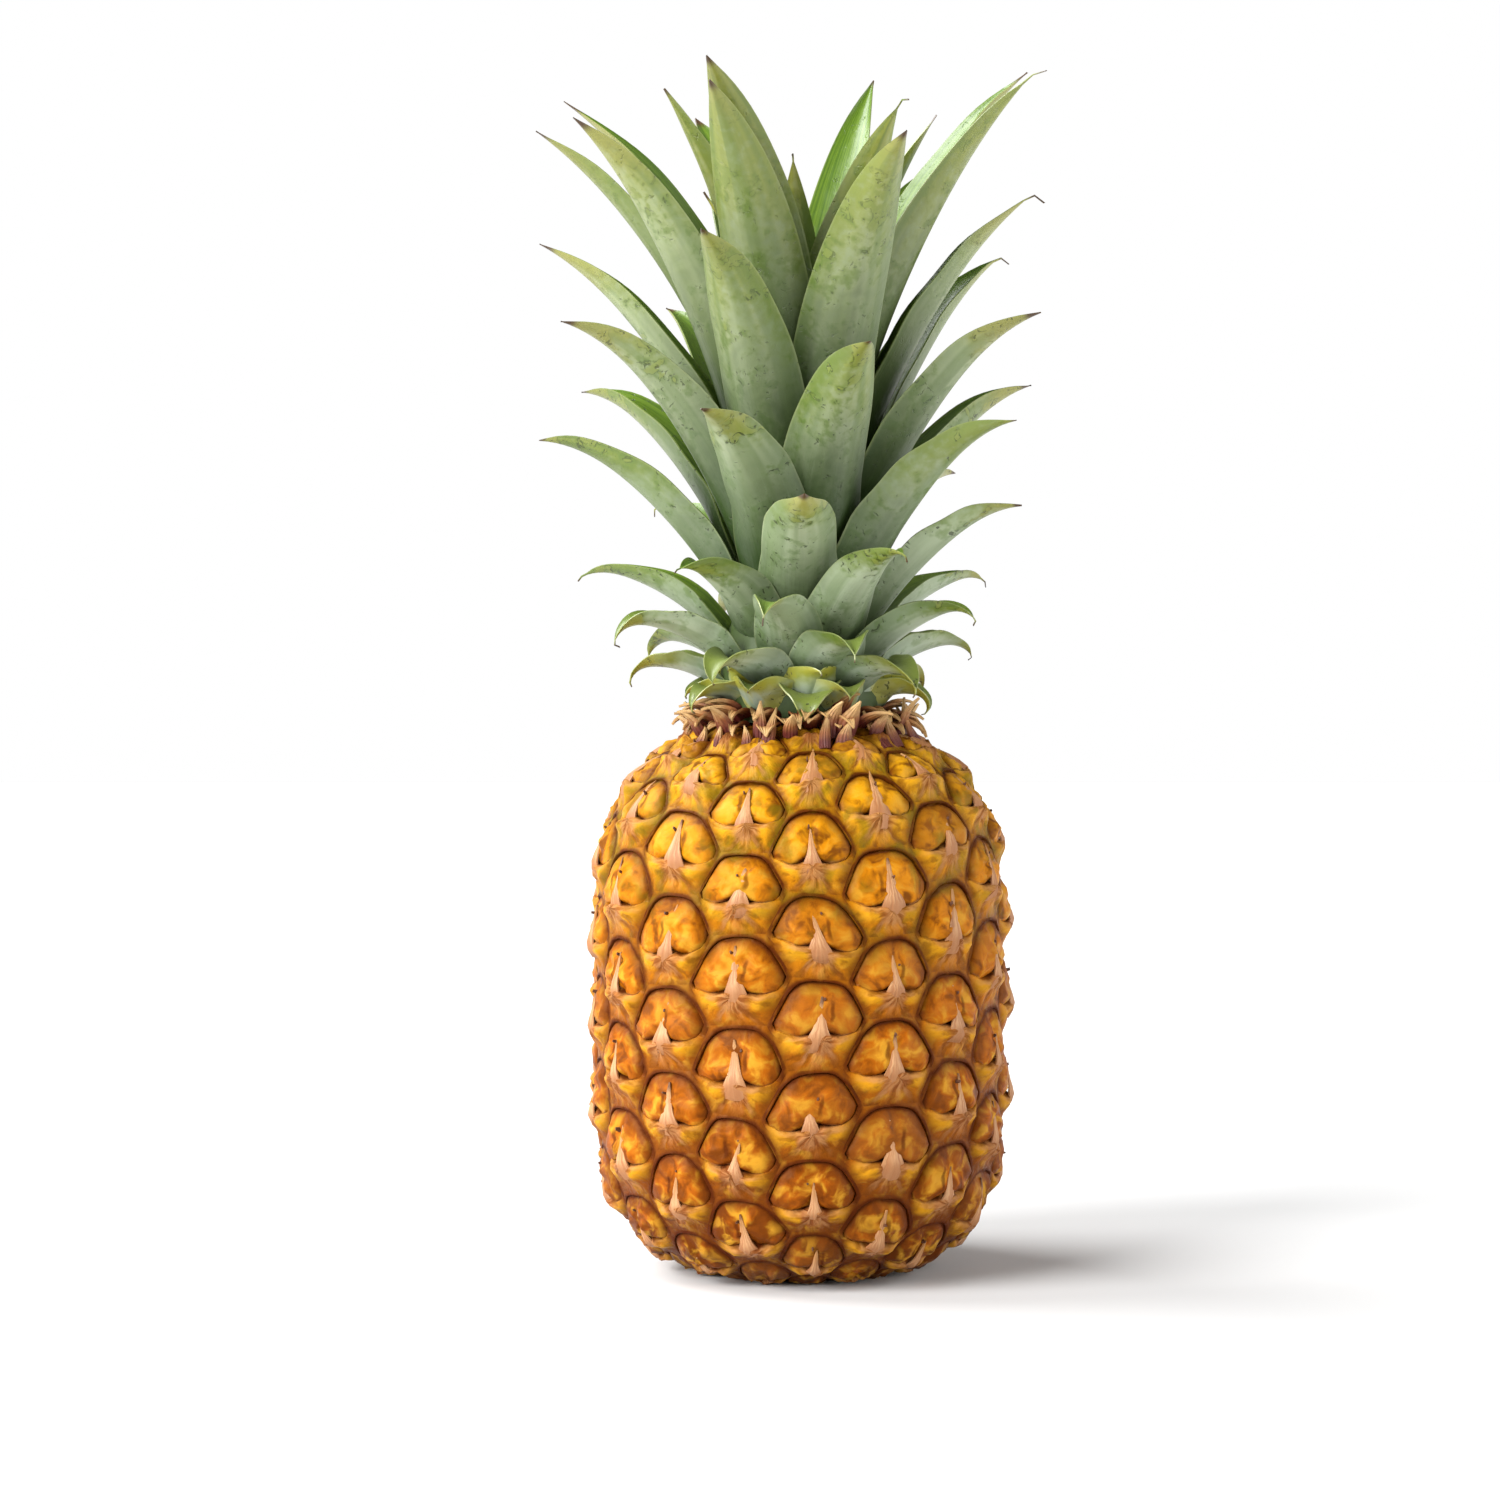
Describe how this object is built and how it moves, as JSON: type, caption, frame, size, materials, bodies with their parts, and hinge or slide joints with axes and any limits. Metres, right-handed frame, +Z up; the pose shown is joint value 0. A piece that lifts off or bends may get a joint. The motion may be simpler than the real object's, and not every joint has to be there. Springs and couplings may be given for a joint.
{
  "type": "pineapple",
  "caption": "Whole fresh pineapple standing on its flattened base: barrel of close hexagonal eyes with pointed bracts, and a tall crown of stiff, channelled, pointed leaves.",
  "frame": {"origin": "centre of the stalk's cut face, on the surface that the fruit stands on", "axes": "+Z up along the fruit's axis from its base to its crown; -Y is the side that the picture shows"},
  "size_m": [0.1369, 0.1423, 0.3459],
  "materials": {
    "rind": "tough waxy fruit rind, satin, amber to golden with papery tan bracts",
    "leaf": "stiff leaf with a silvery bloom, satin",
    "cut_stalk": "dry fibrous cut, matt"
  },
  "bodies": {
    "root": {"fruit": "rind", "crown": "leaf", "stalk": "cut_stalk"}
  },
  "joints": []
}
